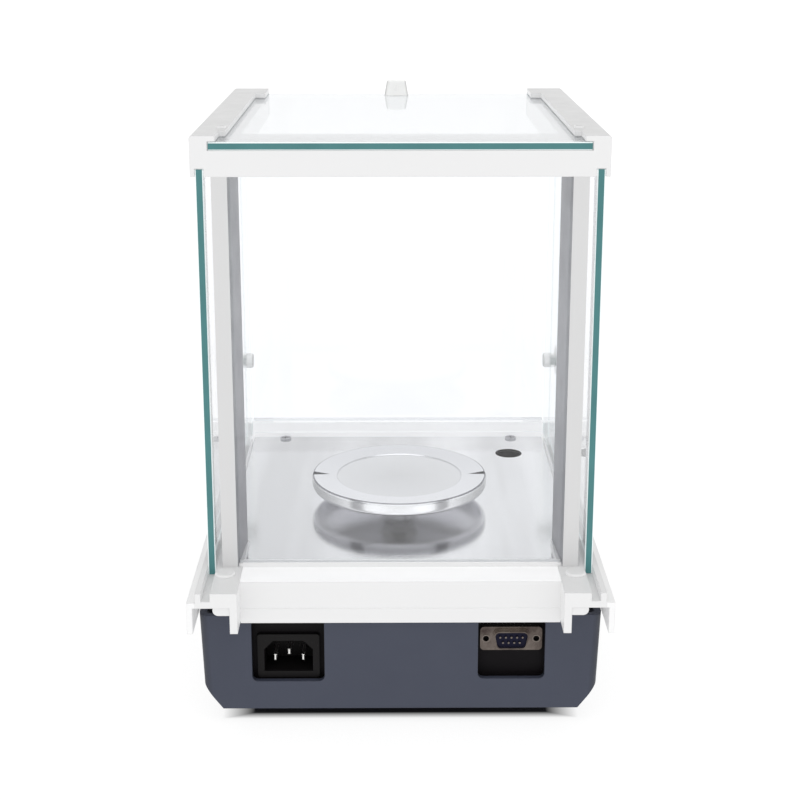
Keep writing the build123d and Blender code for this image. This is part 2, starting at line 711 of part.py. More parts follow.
def d_outline(width, height):
    """Outline of a D-shaped connector, wide side up, about the serial port's centre."""
    Polyline(
        (serial_x - width / 2, serial_z + height / 2),
        (serial_x + width / 2, serial_z + height / 2),
        (serial_x + width / 2 - 1.6, serial_z - height / 2),
        (serial_x - width / 2 + 1.6, serial_z - height / 2),
        close=True,
    )


serial_y = flange_y + 0.2
jack_pitch = 24.99
insert_radius = 2.1
shell_rise = 2.6            # how far the shell stands out of the flange
with BuildPart() as serial_shell:
    with BuildSketch(Plane.XZ.offset(-serial_y)):
        with Locations((serial_x, serial_z)):
            RectangleRounded(30.8, 12.5, 2)
    extrude(amount=serial_y - bay_back_y)
    # drawn shell with the flare at its root
    for width, height, rise, corner in ((19.4, 10.8, 0.8, 3.2), (18.0, 9.4, shell_rise, 2.6)):
        with BuildSketch(Plane.XZ.offset(-serial_y - rise)):
            with BuildLine():
                d_outline(width, height)
            make_face()
            fillet(vertices(), corner)
        extrude(amount=rise)
    with BuildSketch(Plane.XZ.offset(-serial_y - shell_rise)):
        with BuildLine():
            d_outline(16.9, 8.3)
        make_face()
        fillet(vertices(), 2.05)
    extrude(amount=12, mode=Mode.SUBTRACT)
    with BuildSketch(Plane.XZ.offset(-serial_y)):
        with Locations((serial_x - jack_pitch / 2, serial_z), (serial_x + jack_pitch / 2, serial_z)):
            Circle(insert_radius)
    extrude(amount=4, mode=Mode.SUBTRACT)
save(serial_shell, "serial_shell")

pin_pitch = 2.77
pin_rows = [(column * pin_pitch, 1.42) for column in (-2, -1, 0, 1, 2)]
pin_rows += [(column * pin_pitch, -1.42) for column in (-1.5, -0.5, 0.5, 1.5)]
pin_places = [(serial_x + x, serial_z + z) for x, z in pin_rows]
with BuildPart() as serial_insert:
    with BuildSketch(Plane.XZ.offset(-serial_y - 1.0)):
        with BuildLine():
            d_outline(16.9, 8.3)
        make_face()
        fillet(vertices(), 2.05)
        with Locations(*pin_places):
            Circle(0.5, mode=Mode.SUBTRACT)
    extrude(amount=9)
save(serial_insert, "serial_insert")

with BuildPart() as serial_pins:
    with BuildSketch(Plane.XZ.offset(-serial_y - 2.2)):
        with Locations(*pin_places):
            Circle(0.5)
    extrude(amount=15)
save(serial_pins, "serial_pins")

with BuildPart() as serial_thread_inserts:
    with BuildSketch(Plane.XZ.offset(-serial_y - 0.2)):
        with Locations((serial_x - jack_pitch / 2, serial_z), (serial_x + jack_pitch / 2, serial_z)):
            Circle(insert_radius)
            Circle(1.5, mode=Mode.SUBTRACT)
    extrude(amount=2.4)
save(serial_thread_inserts, "serial_thread_inserts")

# ============================================================================
# Control panel
# ============================================================================
key_places = [((index - 2.5) * key_pitch, key_row) for index in range(len(key_names))]
with BuildPart() as panel_overlay:
    with BuildSketch(panel_plane(-0.8)):
        RectangleRounded(*overlay_size, 4)
        with Locations((0, window_row)):
            RectangleRounded(*window_size, 2, mode=Mode.SUBTRACT)
        with Locations(*key_places):
            RectangleRounded(key_cap[0] + 0.6, key_cap[1] + 0.6, 2.3, mode=Mode.SUBTRACT)
    extrude(amount=1.1)
save(panel_overlay, "panel_overlay")

with BuildPart() as display_window:
    with BuildSketch(panel_plane(-2.0)):
        with Locations((0, window_row)):
            RectangleRounded(*window_size, 2)
    extrude(amount=2.1)
save(display_window, "display_window")

with BuildPart() as display_module:
    with BuildSketch(panel_plane(-2.4)):
        with Locations((0, window_row)):
            Rectangle(window_size[0] + 2, window_size[1])
    extrude(amount=-6)
save(display_module, "display_module")

key_travel = 0.8
with BuildPart() as keypad_board:
    with BuildSketch(panel_plane(-7.6)):
        with Locations((0, key_row)):
            Rectangle(key_pitch * 5 + key_cap[0] + 3, key_cap[1] + 4)
    extrude(amount=1.6)
    with BuildSketch(panel_plane(-6.0)):
        with Locations(*key_places):
            Circle(3)
    extrude(amount=1.0)
save(keypad_board, "keypad_board")

for name, place in zip(key_names, key_places):
    with BuildPart() as key:
        with BuildSketch(panel_plane(-2.6)):
            with Locations(place):
                RectangleRounded(*key_cap, 2)
        extrude(amount=4.2)
        fillet(key.faces().filter_by(Plane(origin=(0, 0, 0), z_dir=panel_normal)).sort_by(
            Axis((0, 0, 0), panel_normal))[-1].edges(), 0.6)
        with BuildSketch(panel_plane(-2.6)):
            with Locations(place):
                Rectangle(key_cap[0] + 3, key_cap[1] + 3)
        extrude(amount=1)
        with BuildSketch(panel_plane(-5.0 + key_travel + 0.1)):
            with Locations(place):
                Circle(2.5)
        extrude(amount=2.0)
    save(key, name)

# ============================================================================
# Feet
# ============================================================================
with BuildPart() as rear_foot:
    with BuildSketch(Plane.XZ):
        with BuildLine():
            Polyline(
                (0, 0),
                (9.6, 0),
                (10.6, 1),
                (11.6, foot_height),
                (4, foot_height),
                (4, 16),
                (0, 16),
                close=True,
            )
        make_face()
    revolve(axis=Axis.Z)
with BuildPart() as rear_feet:
    with Locations((-foot_x, rear_foot_y, 0), (foot_x, rear_foot_y, 0)):
        add(rear_foot.part)
save(rear_feet, "rear_feet")

with BuildPart() as levelling_inserts:
    with Locations((-foot_x, front_foot_y, foot_height + 5), (foot_x, front_foot_y, foot_height + 5)):
        Cylinder(5, 11, align=(Align.CENTER, Align.CENTER, Align.MIN))
        Cylinder(stud_radius + running_gap, 11, align=(Align.CENTER, Align.CENTER, Align.MIN),
                 mode=Mode.SUBTRACT)
save(levelling_inserts, "levelling_inserts")

for side, word in ((-1, "left"), (1, "right")):
    centre = (side * foot_x, front_foot_y)
    with BuildPart() as foot_pad:
        with BuildSketch(Plane.XY):
            with Locations(centre):
                Circle(11)
        extrude(amount=2.6)
        chamfer(foot_pad.edges().group_by(Axis.Z)[0], 0.6)
        with BuildSketch(Plane.XY.offset(1.2)):
            with Locations(centre):
                Circle(stud_radius + running_gap)
        extrude(amount=2, mode=Mode.SUBTRACT)
    save(foot_pad, f"{word}_foot_pad")

    with BuildPart() as foot_wheel:
        with BuildSketch(Plane.XY.offset(3.0)):
            with Locations(centre):
                Circle(wheel_radius)
            with Locations(centre):
                with PolarLocations(wheel_radius + 0.6, 18):
                    Circle(1.4, mode=Mode.SUBTRACT)
        extrude(amount=6.4)
        with BuildSketch(Plane.XY.offset(1.3)):
            with Locations(centre):
                Circle(stud_radius)
        extrude(amount=24)
    save(foot_wheel, f"{word}_foot_wheel")
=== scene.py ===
import bpy
import json
import math
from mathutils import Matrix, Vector

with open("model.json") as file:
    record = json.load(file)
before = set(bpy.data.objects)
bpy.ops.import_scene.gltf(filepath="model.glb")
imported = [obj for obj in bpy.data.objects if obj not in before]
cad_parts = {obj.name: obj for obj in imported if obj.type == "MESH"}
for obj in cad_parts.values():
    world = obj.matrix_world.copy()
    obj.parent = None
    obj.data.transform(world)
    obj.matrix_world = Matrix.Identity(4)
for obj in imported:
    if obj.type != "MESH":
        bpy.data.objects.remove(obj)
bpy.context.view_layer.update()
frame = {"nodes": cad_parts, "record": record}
nodes = frame["nodes"]

# Places in metres, in the frame's axes: x to the left seen from behind, y to the rear, z up
pan_axis_y = 0.0284
pan_radius = 0.0485
disc_radius = 0.0345            # edge of the sunk disc inside the pan's ring
cut_start = 0.0385              # inner end of the two sight cuts
cut_half_width = 0.0029         # at the rim
shade_radius = (0.040, 0.053)   # where the pan's shade on the plate begins to fade, and ends
block_inner_x = 0.0786          # inner side of the blocks that carry the door rails
skirt_x = 0.0992                # outer face of the cover's skirts
cover_top_z = 0.1               # the cover lies below this, the top frame above it
hood_end_y = -0.09              # the hood over the control panel lies ahead of this
sill_y = (-0.0885, -0.07)       # the step in front of the chamber floor
deck_front_y = 0.12             # the cover's rear deck lies behind this
post_z = (0.08, 0.27)           # foot and head of the posts
base_side_x = (0.074, 0.090)    # contact shade on the floor: fades out past the base's side,
base_rear_y = (0.133, 0.139)    # its rear
base_front_y = (-0.14, -0.12)   # and its nose
panel_middle_y = -0.12515
panel_slope = math.atan2(28.0, 63.3)
key_pitch = 0.029
key_count = 6
display_half = (0.045, 0.0082)  # the liquid crystal field in the display lens
printed_line = 0.00022          # half the width of a printed line


# ---------------------------------------------------------------------------
# Material kit
# ---------------------------------------------------------------------------
class Look:
    """A node material that is being put together."""

    def __init__(self, name):
        self.material = bpy.data.materials.new(name)
        self.material.use_nodes = True
        self.tree = self.material.node_tree
        self.tree.nodes.clear()
        self.output = self.add("ShaderNodeOutputMaterial")
        self.place = self.add("ShaderNodeTexCoord").outputs["Object"]

    def add(self, kind, inputs=None, **settings):
        node = self.tree.nodes.new(kind)
        for key, value in settings.items():
            setattr(node, key, value)
        for socket, value in (inputs or {}).items():
            if isinstance(value, bpy.types.NodeSocket):
                self.tree.links.new(value, node.inputs[socket])
            else:
                node.inputs[socket].default_value = value
        return node

    def noise(self, scale, stretch=(1, 1, 1), detail=2.0, roughness=0.5):
        """Noise with scale cells per metre, drawn out along the axes with a low stretch."""
        mapping = self.add("ShaderNodeMapping", {"Vector": self.place, "Scale": stretch})
        return self.add("ShaderNodeTexNoise", {
            "Vector": mapping.outputs[0], "Scale": scale, "Detail": detail, "Roughness": roughness,
        }).outputs[0]

    def span(self, value, low, high, out_low, out_high):
        return self.add("ShaderNodeMapRange", {
            0: value, 1: low, 2: high, 3: out_low, 4: out_high,
        }).outputs[0]

    def math(self, operation, a, b=0.0):
        return self.add("ShaderNodeMath", {0: a, 1: b}, operation=operation).outputs[0]

    def both(self, *masks):
        """Product of masks: 1 only where each of them is."""
        product = masks[0]
        for mask in masks[1:]:
            product = self.math("MULTIPLY", product, mask)
        return product

    def over(self, value, limit):
        return self.math("GREATER_THAN", value, limit)

    def under(self, value, limit):
        return self.math("LESS_THAN", value, limit)

    def between(self, value, low, high):
        return self.both(self.over(value, low), self.under(value, high))

    def size(self, value):
        return self.math("ABSOLUTE", value)

    def split(self, vector):
        """A vector's x, y and z."""
        return self.add("ShaderNodeSeparateXYZ", {0: vector}).outputs

    def around(self, y):
        """x and y measured from an upright axis at (0, y), and the distance from it."""
        mapping = self.add("ShaderNodeMapping", {"Vector": self.place, "Location": (0, -y, 0)})
        x, y, _ = self.split(mapping.outputs[0])
        square = self.math("ADD", self.both(x, x), self.both(y, y))
        return x, y, self.math("SQRT", square)

    def from_box(self, x, y, half_x, half_y):
        """How far a point lies outside an upright box at (x, y); negative inside it."""
        here = self.split(self.place)
        aside = self.math("SUBTRACT", self.size(self.math("SUBTRACT", here[0], x)), half_x)
        along = self.math("SUBTRACT", self.size(self.math("SUBTRACT", here[1], y)), half_y)
        return self.math("MAXIMUM", aside, along)

    def grey(self, value):
        return self.add("ShaderNodeCombineXYZ", {0: value, 1: value, 2: value}).outputs[0]

    def softened(self, radius):
        """Normals that round the sharp edges off."""
        return self.add("ShaderNodeBevel", {"Radius": radius}, samples=6).outputs[0]

    def mix(self, factor, a, b):
        """Colour a where factor is 0, colour b where it is 1."""
        return self.add("ShaderNodeMix", {0: factor, 6: a, 7: b}, data_type="RGBA").outputs[2]

    def bump(self, height, depth, strength=1.0, normal=None):
        """Normals of a surface whose height, 0 to 1, stands for depth metres."""
        inputs = {"Height": height, "Distance": depth, "Strength": strength}
        if normal is not None:
            inputs["Normal"] = normal
        return self.add("ShaderNodeBump", inputs).outputs[0]

    def facing(self):
        """The surface's own direction as three separate values."""
        return self.split(self.add("ShaderNodeNewGeometry").outputs["True Normal"])

    def finish(self, shader):
        self.tree.links.new(shader, self.output.inputs["Surface"])
        return self.material


def shade(colour, factor):
    """The colour made brighter or darker, with alpha 1."""
    return tuple(min(1.0, c * factor) for c in colour[:3]) + (1.0,)


def plastic(name, colour, rough=0.4, grain=2500, depth=0.00002, mottle=0.03, coat=0.0, specular=0.5):
    """Moulded plastic: softened edges, a fine texture and a faint unevenness of tone and gloss."""
    look = Look(name)
    cloud = look.noise(28, detail=3)
    base = look.mix(cloud, shade(colour, 1 - mottle), shade(colour, 1 + mottle))
    fine = look.noise(grain, detail=2)
    gloss = look.span(look.noise(90, detail=4), 0.3, 0.7, rough - 0.05, rough + 0.06)
    soft = look.softened(0.0004)
    shader = look.add("ShaderNodeBsdfPrincipled", {
        "Base Color": base, "Roughness": gloss, "IOR": 1.48, "Specular IOR Level": specular,
        "Normal": look.bump(fine, depth, normal=soft), "Coat Weight": coat, "Coat Roughness": 0.15,
    })
    return look.finish(shader.outputs[0])


def housing_moulding(name, colour):
    """Slate moulding with a fine matt texture and a painted shade, deeper in tone, where it turns to the
    sides.
    """
    look = Look(name)
    # painted shade: faces turned to the sides are drawn darker
    aside = look.span(look.size(look.facing()[0]), 0.1, 0.8, 0.0, 1.0)
    cloud = look.noise(28, detail=3)
    body = look.mix(cloud, shade(colour, 0.95), shade(colour, 1.05))
    soft = look.softened(0.0008)
    shader = look.add("ShaderNodeBsdfPrincipled", {
        "Base Color": look.mix(aside, body, shade(colour, 0.55)), "IOR": 1.48,
        "Specular IOR Level": 0.39,
        "Roughness": look.span(look.noise(90, detail=4), 0.3, 0.7, 0.45, 0.56),
        "Normal": look.bump(look.noise(1500, detail=2), 0.00004, normal=soft),
    })
    return look.finish(shader.outputs[0])


def white_moulding(name, ledge_x, ledge_shade_tone):
    """Satin white moulding with soft edges; its top faces out past ledge_x carry a painted shade, greyer and
    with less glow.

    The faint glow stands for the light that the pale room throws back on white faces: more on the sill,
    the rear deck and the skirts, which face it squarely.
    """
    look = Look(name)
    x, y, z = look.split(look.place)
    up = look.span(look.facing()[2], 0.5, 0.9, 0.0, 1.0)
    # painted shade: top faces of the ledges are drawn greyer and get less of the painted glow
    shaded_ledge = look.both(up, look.over(look.size(x), ledge_x), look.over(y, hood_end_y))
    cloud = look.noise(28, detail=3)
    body = look.mix(cloud, (0.675, 0.675, 0.677, 1), (0.695, 0.695, 0.697, 1))
    grey = look.mix(cloud, (ledge_shade_tone, ledge_shade_tone, ledge_shade_tone, 1), shade((ledge_shade_tone,) * 3, 1.05))
    cover = look.under(z, cover_top_z)
    glow = look.span(shaded_ledge, 0, 1, 0.14, 0.07)
    for mask, share in (
        (look.both(look.between(y, *sill_y), cover), 0.2),
        (look.both(look.math("SUBTRACT", up, shaded_ledge), look.over(y, deck_front_y)), 0.12),
        (look.both(look.over(look.size(x), skirt_x), cover), 0.1),
    ):
        glow = look.math("ADD", glow, look.math("MULTIPLY", mask, share))
    shader = look.add("ShaderNodeBsdfPrincipled", {
        "Base Color": look.mix(shaded_ledge, body, grey), "IOR": 1.48,
        "Roughness": look.span(look.noise(90, detail=4), 0.3, 0.7, 0.31, 0.42),
        "Normal": look.bump(look.noise(1800, detail=2), 0.000008, normal=look.softened(0.0005)),
        "Emission Color": (1, 1, 1, 1), "Emission Strength": glow,
    })
    return look.finish(shader.outputs[0])


def drawn_nickel(name):
    """Plated shell: its flat face carries a painted reflection of a dark room, drawn dark; its rolled edges
    keep the plain nickel colour and catch the light.
    """
    look = Look(name)
    # painted reflection: the flat face is drawn dark, as though it mirrored a dark room
    flat = look.span(look.size(look.facing()[1]), 0.8, 0.97, 0.0, 1.0)
    cloud = look.noise(160, detail=4)
    face = look.mix(look.span(cloud, 0.3, 0.7, 0.0, 1.0), (0.055, 0.042, 0.038, 1), (0.16, 0.135, 0.12, 1))
    shader = look.add("ShaderNodeBsdfPrincipled", {
        "Base Color": look.mix(flat, (0.62, 0.58, 0.53, 1), face), "Metallic": 1.0,
        "Roughness": look.span(cloud, 0.3, 0.7, 0.2, 0.32),
        "Normal": look.bump(look.noise(900, detail=3), 0.00001),
    })
    return look.finish(shader.outputs[0])


def metal(name, colour, rough=0.25, stretch=(1, 1, 1), grain=1500, depth=0.000006, mottle=0.05):
    """Bare or plated metal; a low stretch along one axis makes brush marks along it."""
    look = Look(name)
    marks = look.noise(grain, stretch, detail=4, roughness=0.65)
    cloud = look.noise(45, detail=3)
    base = look.mix(cloud, shade(colour, 1 - mottle), shade(colour, 1 + mottle))
    shader = look.add("ShaderNodeBsdfPrincipled", {
        "Base Color": base, "Metallic": 1.0,
        "Roughness": look.span(marks, 0.25, 0.75, rough - 0.06, rough + 0.08),
        "Normal": look.bump(marks, depth),
    })
    return look.finish(shader.outputs[0])


def pane(name, axis, exposed, bends):
    """Float glass across the given axis: clear faces and pale ground arrises with a painted glow.

    exposed: its cut edges are seen, deep green on the ends that face along Y, drawn pale as painted light on
    the others, all with a painted glow.
    bends: what is seen through it is displaced, as through a thick pane seen at a slant.
    """
    look = Look(name)
    turned = look.facing()
    across = look.size(turned[axis])
    open_edge = look.over(look.size(turned[1]), 0.7)
    clear = look.add("ShaderNodeBsdfTransparent", {
        "Color": look.mix(look.noise(12), (0.985, 0.99, 0.998, 1), (0.99, 0.994, 1.0, 1)),
    })
    mirror = look.add("ShaderNodeBsdfGlossy", {"Color": (0.95, 0.95, 0.95, 1), "Roughness": 0.0})
    slope = look.add("ShaderNodeLayerWeight", {"Blend": 0.5}).outputs["Facing"]
    share = look.span(look.math("POWER", slope, 5.0), 0.0, 1.0, 0.04, 0.9)
    face = look.add("ShaderNodeMixShader", {0: share, 1: clear.outputs[0], 2: mirror.outputs[0]})
    if bends:
        glass = look.add("ShaderNodeBsdfGlass", {
            "Color": (0.985, 0.99, 0.995, 1), "Roughness": 0.0, "IOR": 1.5,
        })
        path = look.add("ShaderNodeLightPath").outputs
        soft_light = look.math("MAXIMUM", path["Is Shadow Ray"], path["Is Diffuse Ray"])
        face = look.add("ShaderNodeMixShader", {0: soft_light, 1: glass.outputs[0], 2: face.outputs[0]})
    streaks = look.noise(50, detail=3)
    green = (0.059, 0.18, 0.185, 1)
    cut = look.mix(streaks, shade(green, 0.75), shade(green, 1.1))
    # painted light: edges that do not face along Y, which sit in the grooves, are drawn pale
    tone = look.mix(open_edge, (0.60, 0.62, 0.62, 1), cut)
    # the cut edges carry a painted glow
    edge = look.add("ShaderNodeBsdfPrincipled", {
        "Base Color": tone, "Roughness": 0.3, "Specular IOR Level": 0.3,
        "Normal": look.bump(look.noise(900, detail=3), 0.00003),
        "Emission Color": tone, "Emission Strength": 0.3,
    })
    # the ground arrises are pale and carry a painted glow
    ground = look.add("ShaderNodeBsdfPrincipled", {
        "Base Color": look.mix(streaks, (0.70, 0.77, 0.77, 1), (0.8, 0.85, 0.85, 1)), "Roughness": 0.5,
        "Emission Color": (0.8, 0.9, 0.9, 1), "Emission Strength": 0.2,
    })
    inside = look.add("ShaderNodeNewGeometry").outputs["Backfacing"]
    through = look.add("ShaderNodeBsdfTransparent", {"Color": (0.97, 0.985, 0.985, 1)})
    seen = look.add("ShaderNodeMixShader", {0: inside, 1: edge.outputs[0], 2: through.outputs[0]})
    rim = look.add("ShaderNodeMixShader", {
        0: look.over(across, 0.3), 1: seen.outputs[0], 2: ground.outputs[0],
    })
    if not exposed:
        rim = through
    body = look.add("ShaderNodeMixShader", {
        0: look.over(across, 0.9), 1: rim.outputs[0], 2: face.outputs[0],
    })
    return look.finish(body.outputs[0])


def stainless_sheet(name):
    """Brushed stainless floor: fine marks across its width, soft bands as painted reflections, a painted
    shade under the pan.
    """
    look = Look(name)
    marks = look.noise(2400, (0.02, 1, 1), detail=4, roughness=0.7)
    # painted reflection: soft bands of tone along the sheet
    painted_reflection_bands = look.noise(22, (1, 0.1, 1), detail=3)
    _, _, radius = look.around(pan_axis_y)
    # painted shade under the pan, where the bands give way to an even tone
    shaded = look.span(radius, *shade_radius, 1.0, 0.0)
    bright = look.mix(look.span(painted_reflection_bands, 0.35, 0.65, 0.0, 1.0), (0.70, 0.70, 0.705, 1), (0.95, 0.95, 0.955, 1))
    brushed = look.add("ShaderNodeCombineXYZ", {0: 1.0, 1: 0.0, 2: 0.0}).outputs[0]
    shader = look.add("ShaderNodeBsdfPrincipled", {
        "Base Color": look.mix(shaded, bright, (0.80, 0.80, 0.82, 1)),
        "Metallic": 1.0, "Roughness": look.span(marks, 0.2, 0.8, 0.09, 0.16),
        "Anisotropic": 0.3, "Tangent": brushed, "Normal": look.bump(marks, 0.00001),
    })
    return look.finish(shader.outputs[0])


def turned_steel(name):
    """The pan: polished steel, turned about its axis, with painted shade in the sight cuts of its rim and
    painted light, shade and reflections on its faces.
    """
    look = Look(name)
    x, y, radius = look.around(pan_axis_y)
    aside = look.size(x)
    up = look.facing()[2]
    rings = look.add("ShaderNodeTexNoise", {
        "Vector": look.add("ShaderNodeCombineXYZ", {0: radius}).outputs[0],
        "Scale": 3000.0, "Detail": 3.0, "Roughness": 0.7,
    }).outputs[0]
    # the sunk disc, with painted shade darker towards its centre, its raised ring painted lighter, and the
    # step between them with a painted shade
    disc = look.grey(look.span(radius, 0.0, disc_radius - 0.0005, 0.68, 0.76))
    ring = look.span(radius, disc_radius - 0.0007, disc_radius + 0.0007, 0.0, 1.0)
    tone = look.mix(ring, disc, (0.80, 0.80, 0.81, 1))
    step = look.both(look.between(radius, disc_radius - 0.002, disc_radius + 0.002), look.under(up, 0.985))
    tone = look.mix(step, tone, (0.66, 0.66, 0.67, 1))
    # the upright band, with a painted reflection: greyer towards both sides, below a painted dark line where
    # it meets the ring
    sides = look.grey(look.span(aside, 0.028, 0.046, 0.97, 0.5))
    tone = look.mix(look.over(radius, pan_radius - 0.0008), tone, sides)
    line = look.between(radius, pan_radius - 0.001, pan_radius - 0.0003)
    tone = look.mix(line, tone, (0.28, 0.28, 0.30, 1))
    # painted shade in the sight cuts, which widen towards the rim
    width = look.span(radius, cut_start, pan_radius, 0.0, cut_half_width)
    cut = look.both(look.under(look.size(y), width), look.over(radius, cut_start), look.over(up, -0.3))
    tone = look.mix(cut, tone, (0.16, 0.16, 0.17, 1))
    # painted reflection: the band is drawn dark where the floor plate mirrors it; the underside has a
    # painted shade, darker, and a faint painted glow
    upright = look.both(look.under(look.size(up), 0.5), look.over(radius, pan_radius - 0.0005))
    mirrored = look.add("ShaderNodeLightPath").outputs["Is Glossy Ray"]
    tone = look.mix(look.both(upright, mirrored), tone, (0.34, 0.34, 0.36, 1))
    tone = look.mix(look.under(up, -0.3), tone, (0.55, 0.55, 0.57, 1))
    tint = look.mix(look.noise(40, detail=3), (0.97, 0.97, 0.98, 1), (1.0, 1.0, 1.0, 1))
    colour = look.add("ShaderNodeMix", {0: 1.0, 6: tone, 7: tint}, data_type="RGBA",
                      blend_type="MULTIPLY").outputs[2]
    # painted highlight: the middle of the band glows
    glow = look.both(upright, look.span(aside, 0.018, 0.034, 0.28, 0.0),
                     look.math("SUBTRACT", 1.0, mirrored))
    tangent = look.add("ShaderNodeTangent", direction_type="RADIAL", axis="Z")
    shader = look.add("ShaderNodeBsdfPrincipled", {
        "Base Color": colour, "Metallic": 1.0,
        "Roughness": look.span(rings, 0.25, 0.75, 0.13, 0.22),
        "Anisotropic": 0.25, "Tangent": tangent.outputs[0],
        "Normal": look.bump(rings, 0.000006), "Emission Color": (1, 1, 1, 1),
        "Emission Strength": look.math("ADD", look.span(up, -0.7, -0.3, 0.08, 0.0), glow),
    })
    return look.finish(shader.outputs[0])


def post_plastic(name):
    """The posts: pale behind, with painted shade: a grey strip along the side that faces the chamber, darker
    towards the top, and a dark outer arris.
    """
    look = Look(name)
    x, _, z = look.split(look.place)
    outward = look.math("MULTIPLY", look.facing()[0], look.math("SIGN", x))
    cloud = look.noise(30, (1, 1, 0.2), detail=3)
    pale = look.mix(cloud, (0.66, 0.66, 0.662, 1), (0.70, 0.70, 0.702, 1))
    # painted shade on the side that faces the chamber, darker towards the top
    grey = look.mix(cloud, (0.25, 0.25, 0.272, 1), (0.29, 0.29, 0.312, 1))
    grey = look.mix(look.span(z, *post_z, 0.0, 0.3), grey, (0.02, 0.02, 0.025, 1))
    tone = look.mix(look.under(outward, -0.6), pale, grey)
    # painted shade: the outer arris is drawn dark
    shader = look.add("ShaderNodeBsdfPrincipled", {
        "Base Color": look.mix(look.over(outward, 0.35), tone, (0.2, 0.2, 0.21, 1)),
        "Roughness": look.span(look.noise(80, detail=3), 0.3, 0.7, 0.34, 0.45), "IOR": 1.48,
        "Normal": look.bump(look.noise(2200, (1, 1, 0.1), detail=2), 0.000015),
    })
    return look.finish(shader.outputs[0])


def milky(name, colour):
    """Milky moulding, with painted shade on its ends and a faint painted glow."""
    look = Look(name)
    # painted shade: faces turned along x are drawn darker
    ends = look.span(look.size(look.facing()[0]), 0.4, 0.95, 0.0, 1.0)
    cloud = look.noise(120, detail=3)
    body = look.mix(cloud, shade(colour, 0.97), shade(colour, 1.03))
    shader = look.add("ShaderNodeBsdfPrincipled", {
        "Base Color": look.mix(ends, body, shade(colour, 0.5)),
        "Roughness": look.span(cloud, 0.3, 0.7, 0.25, 0.38), "IOR": 1.45,
        # painted glow
        "Emission Color": (1, 1, 1, 1), "Emission Strength": 0.13,
        "Normal": look.bump(look.noise(1500, detail=2), 0.00001, normal=look.softened(0.0006)),
    })
    return look.finish(shader.outputs[0])


def panel_y(up_slope):
    """Y of a line across the sloping control panel, up_slope metres above its middle line."""
    return panel_middle_y + up_slope * math.cos(panel_slope)


def printed_film(name, colour):
    """Film over the control panel, with outlines printed round the keys, the display and its edge."""
    look = Look(name)
    boxes = [((i - (key_count - 1) / 2) * key_pitch, panel_y(-0.018), 0.0127, 0.0062)
             for i in range(key_count)]
    boxes += [(0.0, panel_y(0.013), 0.0545, 0.0127), (0.0, panel_y(0.0), 0.0895, 0.0263)]
    stripes = [look.under(look.size(look.from_box(*box)), printed_line) for box in boxes]
    printed = stripes[0]
    for stripe in stripes[1:]:
        printed = look.math("MAXIMUM", printed, stripe)
    base = look.mix(look.noise(35, detail=3), shade(colour, 0.96), shade(colour, 1.04))
    shader = look.add("ShaderNodeBsdfPrincipled", {
        "Base Color": look.mix(printed, base, (0.42, 0.44, 0.5, 1)), "IOR": 1.48,
        "Roughness": look.span(look.noise(500, detail=2), 0.3, 0.7, 0.30, 0.36),
        "Normal": look.bump(look.noise(4000, detail=2), 0.000004),
    })
    return look.finish(shader.outputs[0])


def smoked_lens(name):
    """Smoked display lens over the paler field of a liquid crystal panel."""
    look = Look(name)
    field = look.under(look.from_box(0.0, panel_y(0.013), *display_half), 0.0)
    cloud = look.noise(60, detail=3)
    pale = look.mix(cloud, (0.105, 0.125, 0.105, 1), (0.125, 0.145, 0.12, 1))
    shader = look.add("ShaderNodeBsdfPrincipled", {
        "Base Color": look.mix(field, (0.008, 0.009, 0.011, 1), pale), "IOR": 1.5,
        "Roughness": look.span(cloud, 0.3, 0.7, 0.07, 0.1),
        "Normal": look.bump(look.noise(800, detail=2), 0.000001),
    })
    return look.finish(shader.outputs[0])


def circuit_board(name):
    """Green solder mask with faint copper tracks under it."""
    look = Look(name)
    brick = look.add("ShaderNodeTexBrick", {
        "Vector": look.place, "Color1": (0.03, 0.2, 0.1, 1), "Color2": (0.035, 0.24, 0.12, 1),
        "Mortar": (0.06, 0.34, 0.16, 1), "Scale": 160.0, "Mortar Size": 0.06,
    })
    shader = look.add("ShaderNodeBsdfPrincipled", {
        "Base Color": brick.outputs["Color"], "Roughness": 0.35, "IOR": 1.5,
        "Normal": look.bump(brick.outputs["Fac"], 0.00003),
    })
    return look.finish(shader.outputs[0])


def winding(name):
    """Enamelled wire wound in close turns."""
    look = Look(name)
    wave = look.add("ShaderNodeTexWave", {"Vector": look.place, "Scale": 260.0, "Distortion": 0.6},
                    bands_direction="Z")
    shader = look.add("ShaderNodeBsdfPrincipled", {
        "Base Color": look.mix(wave.outputs[1], (0.25, 0.09, 0.03, 1), (0.6, 0.27, 0.09, 1)),
        "Roughness": 0.28, "Coat Weight": 0.5, "Normal": look.bump(wave.outputs[1], 0.0003),
    })
    return look.finish(shader.outputs[0])


def laminated(name):
    """Plated steel with the thin lines of its laminations."""
    look = Look(name)
    wave = look.add("ShaderNodeTexWave", {"Vector": look.place, "Scale": 320.0, "Distortion": 0.2},
                    bands_direction="Y")
    shader = look.add("ShaderNodeBsdfPrincipled", {
        "Base Color": look.mix(wave.outputs[1], (0.22, 0.23, 0.25, 1), (0.4, 0.41, 0.44, 1)),
        "Metallic": 0.8, "Roughness": look.span(look.noise(300), 0.3, 0.7, 0.35, 0.5),
        "Normal": look.bump(wave.outputs[1], 0.00008),
    })
    return look.finish(shader.outputs[0])


